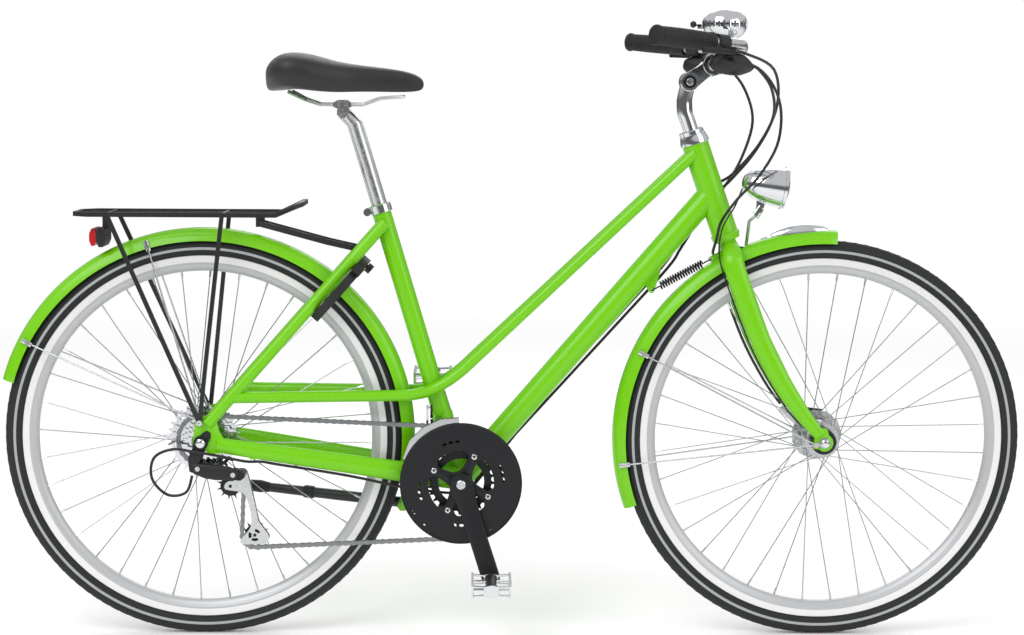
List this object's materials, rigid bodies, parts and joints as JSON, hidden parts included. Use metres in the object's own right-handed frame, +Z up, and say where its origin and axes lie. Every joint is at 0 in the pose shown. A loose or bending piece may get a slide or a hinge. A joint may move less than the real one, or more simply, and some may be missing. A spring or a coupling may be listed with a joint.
{
  "type": "touring bike",
  "caption": "Step-through touring and city bicycle with derailleur gears, fenders, rear rack, lamps, ring lock, folding stand and a large bell.",
  "frame": {"origin": "on the ground, midway between the wheel axles, in the bicycle's middle plane", "axes": "+X forward, +Y to the rider's left, +Z up"},
  "size_m": [1.7696, 0.6178, 1.0926],
  "materials": {
    "green_paint": "high gloss",
    "black_paint": "satin",
    "chrome": "polished",
    "polished_metal": "polished",
    "brushed_metal": "brushed",
    "rim_metal": "satin",
    "black_plastic": "matte",
    "cable_black": "semi-gloss",
    "black_rubber": "matte",
    "tyre_rubber": "matte",
    "black_leather": "grained",
    "clear_plastic": "clear",
    "red_plastic": "translucent"
  },
  "bodies": {
    "frame_body": {"frame": "green_paint", "bottom_bracket_unit": "black_paint", "chain": "brushed_metal", "derailleur_hanger": "black_plastic", "front_shift_cable": "cable_black", "rack": "black_paint", "rear_axle": "polished_metal", "rear_brake_cable": "cable_black", "rear_fender": "green_paint", "rear_light_housing": "black_plastic", "rear_light_lens": "red_plastic", "rear_shift_cable": "cable_black", "ring_lock_body": "black_plastic", "stabiliser_spring": "polished_metal"},
    "steering": {"fork": "green_paint", "front_axle": "polished_metal", "front_brake_cable": "cable_black", "front_fender": "green_paint", "handlebar": "polished_metal", "lamp_wire": "cable_black", "left_control_bracket": "black_plastic", "left_grip": "black_rubber", "right_control_bracket": "black_plastic", "right_grip": "black_rubber", "stem_arm": "chrome", "stem_quill": "chrome", "bell": "chrome"},
    "front_wheel": {"front_wheel_hub": "brushed_metal", "front_wheel_rim": "rim_metal", "front_wheel_tyre": "tyre_rubber"},
    "rear_wheel": {"rear_wheel_hub": "brushed_metal", "rear_wheel_rim": "rim_metal", "rear_wheel_tyre": "tyre_rubber"},
    "crankset": {"right_crank": "black_paint", "left_crank": "black_paint", "outer_chainring": "black_paint", "chain_guard": "black_plastic"},
    "cassette": {"cassette": "brushed_metal"},
    "right_pedal": {"right_pedal": "polished_metal"},
    "left_pedal": {"left_pedal": "polished_metal"},
    "derailleur_outer_link": {"derailleur_outer_link": "black_plastic"},
    "derailleur_inner_link": {"derailleur_inner_link": "black_plastic"},
    "derailleur_knuckle": {"derailleur_knuckle": "black_plastic"},
    "derailleur_cage": {"derailleur_cage": "brushed_metal"},
    "guide_pulley": {"guide_pulley": "black_plastic"},
    "tension_pulley": {"tension_pulley": "black_plastic"},
    "front_derailleur_link": {"front_derailleur_link": "black_plastic"},
    "front_derailleur_cage": {"front_derailleur_cage": "polished_metal"},
    "headlight": {"headlight_shell": "chrome", "headlight_lens": "clear_plastic"},
    "bell_lever": {"bell_lever": "black_plastic"},
    "right_brake_lever": {"right_brake_lever": "black_plastic"},
    "left_brake_lever": {"left_brake_lever": "black_plastic"},
    "right_shift_lever": {"right_shift_lever": "black_plastic"},
    "left_shift_lever": {"left_shift_lever": "black_plastic"},
    "seat_post": {"seat_post": "brushed_metal", "saddle": "black_leather", "saddle_rails": "polished_metal"},
    "ring_lock_shackle": {"ring_lock_shackle": "black_plastic"},
    "kickstand": {"kickstand_leg": "black_paint"}
  },
  "joints": [
    {"name": "steering", "type": "hinge", "parent": "frame_body", "child": "steering", "pos_m": [0.36561, 0, 0.70526], "axis": [-0.3272, 0, 0.9449], "range_deg": [-45, 45], "stiffness_Nm_per_rad": 0.8, "deforming": ["front_shift_cable", "rear_shift_cable", "rear_brake_cable", "stabiliser_spring"]},
    {"name": "front_wheel_spin", "type": "hinge", "parent": "steering", "child": "front_wheel", "pos_m": [0.538, 0, 0.348], "axis": [0, 1, 0], "continuous": true},
    {"name": "rear_wheel_spin", "type": "hinge", "parent": "frame_body", "child": "rear_wheel", "pos_m": [-0.538, 0, 0.348], "axis": [0, 1, 0], "continuous": true},
    {"name": "crank_spin", "type": "hinge", "parent": "frame_body", "child": "crankset", "pos_m": [-0.09177, 0, 0.276], "axis": [0, 1, 0], "continuous": true, "deforming": ["chain"]},
    {"name": "cassette_spin", "type": "hinge", "parent": "frame_body", "child": "cassette", "pos_m": [-0.538, 0, 0.348], "axis": [0, 1, 0], "continuous": true},
    {"name": "right_pedal_spin", "type": "hinge", "parent": "crankset", "child": "right_pedal", "pos_m": [-0.03924, -0.0825, 0.11432], "axis": [0, 1, 0], "continuous": true},
    {"name": "left_pedal_spin", "type": "hinge", "parent": "crankset", "child": "left_pedal", "pos_m": [-0.1443, 0.0825, 0.43768], "axis": [0, 1, 0], "continuous": true},
    {"name": "derailleur_shift", "type": "hinge", "parent": "frame_body", "child": "derailleur_outer_link", "pos_m": [-0.544, -0.0705, 0.303], "axis": [-0.1683, 0, -0.9857], "range_deg": [-13.3, 17.9], "stiffness_Nm_per_rad": 1, "deforming": ["chain", "rear_shift_cable"]},
    {"name": "derailleur_inner_link_hinge", "type": "hinge", "parent": "frame_body", "child": "derailleur_inner_link", "pos_m": [-0.544, -0.0575, 0.303], "axis": [-0.1683, 0, -0.9857], "range_deg": [-13.3, 17.9]},
    {"name": "derailleur_knuckle_hinge", "type": "hinge", "parent": "derailleur_outer_link", "child": "derailleur_knuckle", "pos_m": [-0.4825, -0.0705, 0.2925], "axis": [-0.1683, 0, -0.9857], "range_deg": [-17.9, 13.3]},
    {"name": "derailleur_cage_swing", "type": "hinge", "parent": "derailleur_knuckle", "child": "derailleur_cage", "pos_m": [-0.4705, -0.0475, 0.2895], "axis": [0, 1, 0], "range_deg": [-20, 30], "stiffness_Nm_per_rad": 1, "deforming": ["chain"]},
    {"name": "guide_pulley_spin", "type": "hinge", "parent": "derailleur_cage", "child": "guide_pulley", "pos_m": [-0.491, -0.0433, 0.268], "axis": [0, 1, 0], "continuous": true},
    {"name": "tension_pulley_spin", "type": "hinge", "parent": "derailleur_cage", "child": "tension_pulley", "pos_m": [-0.44912, -0.0433, 0.18217], "axis": [0, 1, 0], "continuous": true},
    {"name": "front_derailleur_shift", "type": "hinge", "parent": "frame_body", "child": "front_derailleur_link", "pos_m": [-0.14327, -0.04, 0.3905], "axis": [1, 0, 0], "range_deg": [-50, 0], "stiffness_Nm_per_rad": 0.3, "deforming": ["chain", "front_shift_cable"]},
    {"name": "front_derailleur_cage_hinge", "type": "hinge", "parent": "front_derailleur_link", "child": "front_derailleur_cage", "pos_m": [-0.14327, -0.04761, 0.40681], "axis": [1, 0, 0], "range_deg": [0, 50]},
    {"name": "headlight_tilt", "type": "hinge", "parent": "steering", "child": "headlight", "pos_m": [0.42457, 0, 0.74833], "axis": [0, 1, 0], "range_deg": [-15, 15], "deforming": ["lamp_wire"]},
    {"name": "bell_lever_press", "type": "hinge", "parent": "steering", "child": "bell_lever", "pos_m": [0.30676, -0.09, 1.06272], "axis": [0, 0, 1], "range_deg": [0, 25], "stiffness_Nm_per_rad": 0.005},
    {"name": "right_brake_lever_pull", "type": "hinge", "parent": "steering", "child": "right_brake_lever", "pos_m": [0.34624, -0.24126, 1.0161], "axis": [0, 0, 1], "range_deg": [-16, 0], "stiffness_Nm_per_rad": 0.6},
    {"name": "left_brake_lever_pull", "type": "hinge", "parent": "steering", "child": "left_brake_lever", "pos_m": [0.34624, 0.24126, 1.0161], "axis": [0, 0, 1], "range_deg": [0, 16], "stiffness_Nm_per_rad": 0.6},
    {"name": "right_shift_lever_push", "type": "hinge", "parent": "steering", "child": "right_shift_lever", "pos_m": [0.34961, -0.22178, 0.98997], "axis": [0, 0, 1], "range_deg": [-25, 0], "stiffness_Nm_per_rad": 0.08},
    {"name": "left_shift_lever_push", "type": "hinge", "parent": "steering", "child": "left_shift_lever", "pos_m": [0.34961, 0.22178, 0.98997], "axis": [0, 0, 1], "range_deg": [0, 25], "stiffness_Nm_per_rad": 0.08},
    {"name": "seat_height", "type": "slide", "parent": "frame_body", "child": "seat_post", "axis": [-0.2874, 0, 0.9578], "range_m": [-0.08, 0.05]},
    {"name": "lock_shackle_turn", "type": "hinge", "parent": "frame_body", "child": "ring_lock_shackle", "pos_m": [-0.30481, 0, 0.60536], "axis": [0.7513, 0, -0.6599], "range_deg": [0, 110]},
    {"name": "kickstand_fold", "type": "hinge", "parent": "frame_body", "child": "kickstand", "pos_m": [-0.193, 0.03, 0.2255], "axis": [-0.1769, -0.905, -0.3868], "range_deg": [0, 100.5]}
  ],
  "couplings": [
    {"joint": "cassette_spin", "follows": "crank_spin", "ratio": 2.2857},
    {"joint": "guide_pulley_spin", "follows": "crank_spin", "ratio": -4.3636},
    {"joint": "tension_pulley_spin", "follows": "crank_spin", "ratio": 4.3636},
    {"joint": "derailleur_inner_link_hinge", "follows": "derailleur_shift", "ratio": 1},
    {"joint": "derailleur_knuckle_hinge", "follows": "derailleur_shift", "ratio": -1},
    {"joint": "front_derailleur_cage_hinge", "follows": "front_derailleur_shift", "ratio": -1}
  ]
}
